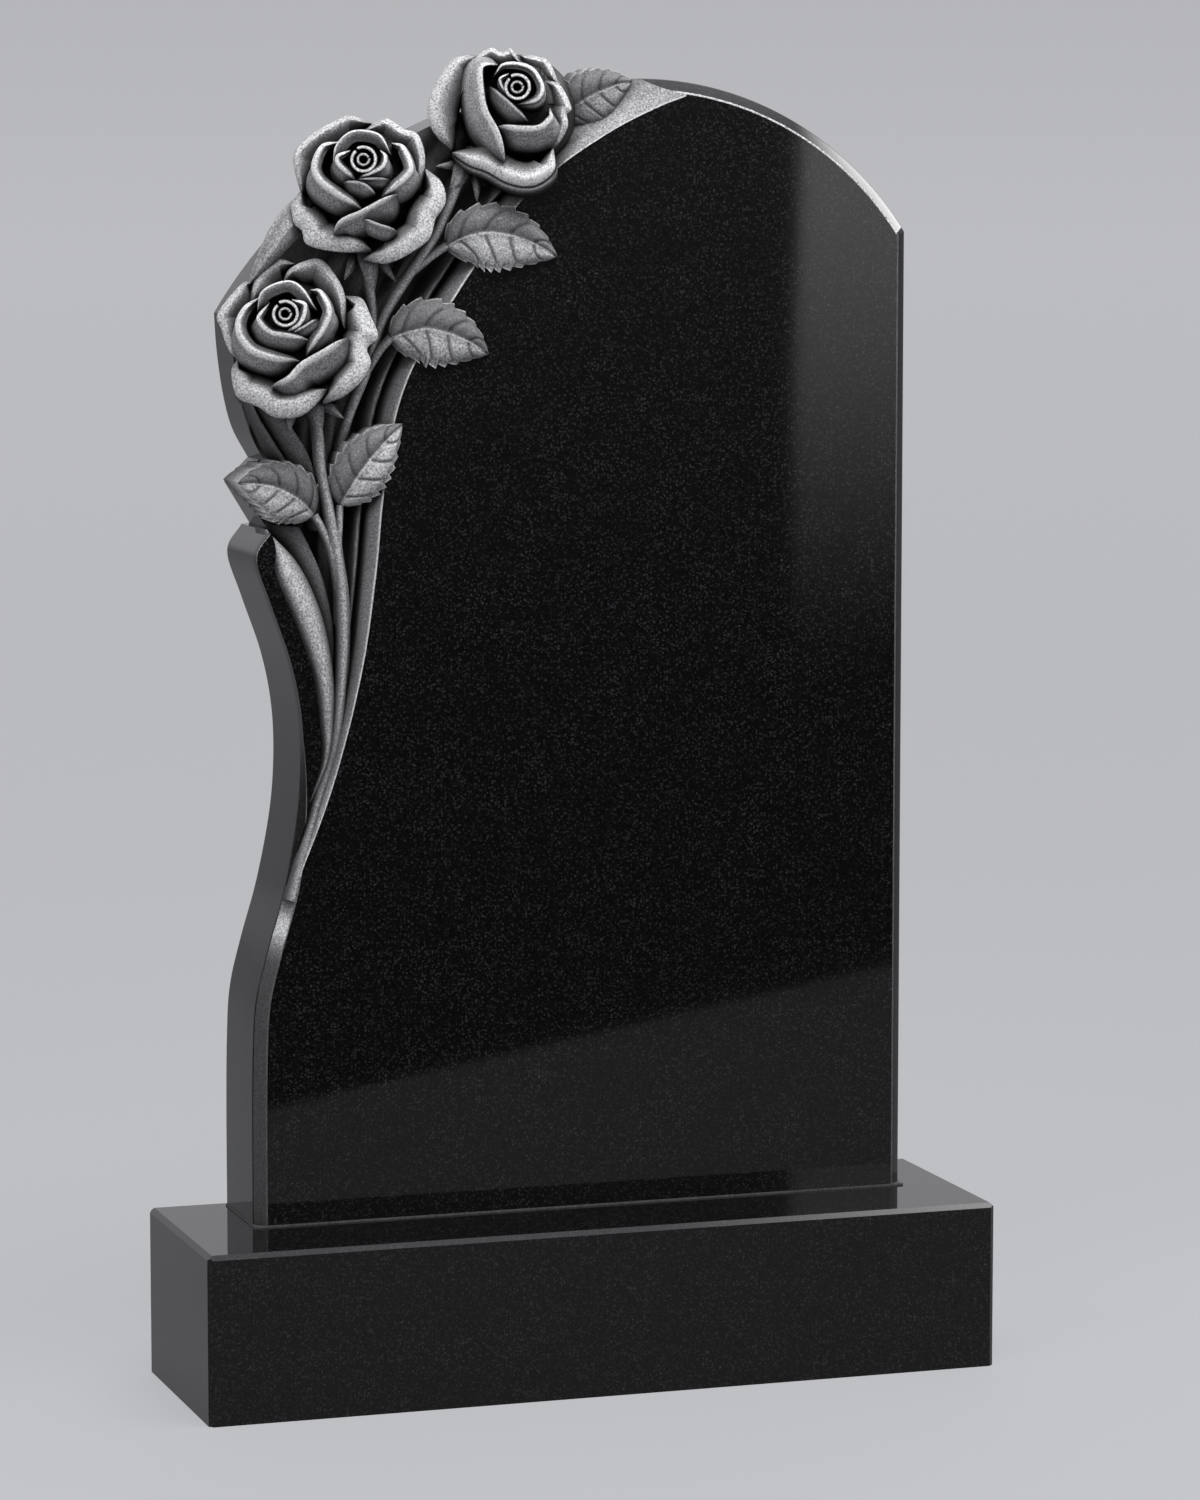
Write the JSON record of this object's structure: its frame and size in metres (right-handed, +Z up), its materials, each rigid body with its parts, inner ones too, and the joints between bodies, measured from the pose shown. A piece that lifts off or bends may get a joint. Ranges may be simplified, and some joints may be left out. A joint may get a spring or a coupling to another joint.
{
  "type": "carved headstone",
  "caption": "Upright polished black granite memorial with an arched head, a carved ground of roses, stems and leaves down its left side, and a plain base block.",
  "frame": {"origin": "middle of the base block's underside", "axes": "+Z up, -Y the way the polished face looks, +X to the viewer's right when facing the stone"},
  "size_m": [0.715, 0.216, 1.1674],
  "materials": {
    "tablet_granite": "polished black granite face and sides; carved ground, roses and leaves left frosted light grey",
    "base_granite": "polished black granite with fine grey speckle"
  },
  "bodies": {
    "root": {"tablet": "tablet_granite", "base": "base_granite"}
  },
  "joints": []
}
